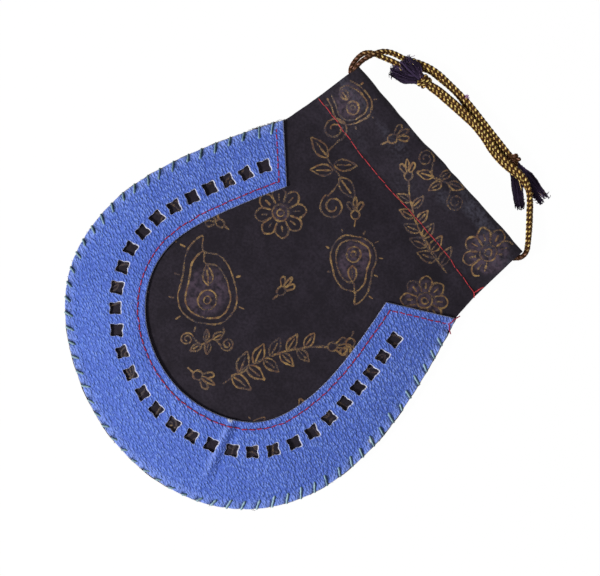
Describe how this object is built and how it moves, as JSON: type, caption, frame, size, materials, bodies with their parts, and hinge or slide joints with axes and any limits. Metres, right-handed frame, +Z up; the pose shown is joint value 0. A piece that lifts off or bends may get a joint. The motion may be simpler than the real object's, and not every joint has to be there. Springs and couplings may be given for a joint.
{
  "type": "drawstring pouch",
  "caption": "Flat drawstring pouch of dark printed cloth with a horseshoe band of punched blue leather whip-stitched round its edge and two knotted braid cords.",
  "frame": {"origin": "on the surface the pouch lies on, under the middle of its box without the cords", "axes": "+X across the pouch to the right, +Y from the round bottom to the mouth, +Z up out of the leather front; the pouch lies on its back"},
  "size_m": [0.1529, 0.2088, 0.0159],
  "materials": {
    "back_cloth": "matt dark cotton",
    "front_cloth": "matt dark cotton with a muted gold print",
    "leather": "grained blue leather with pale cut edges",
    "lacing_thread": "pale sage waxed thread",
    "band_thread": "magenta-red sewing thread",
    "casing_thread": "red sewing thread",
    "side_thread": "dark sewing thread",
    "braid": "dark brown braid with gold threads",
    "fray": "frayed black-purple threads with gold ones"
  },
  "bodies": {
    "root": {"back_panel": "back_cloth", "front_panel": "front_cloth", "leather_band": "leather", "edge_lacing": "lacing_thread", "band_stitching": "band_thread", "front_casing_stitching": "casing_thread", "back_casing_stitching": "casing_thread", "left_side_seam": "side_thread", "right_side_seam": "side_thread", "left_drawcord": "braid", "right_drawcord": "braid", "left_knot": "braid", "right_knot": "braid", "left_tail_1": "fray", "left_tail_2": "fray", "right_tail_1": "fray", "right_tail_2": "fray"}
  },
  "joints": []
}
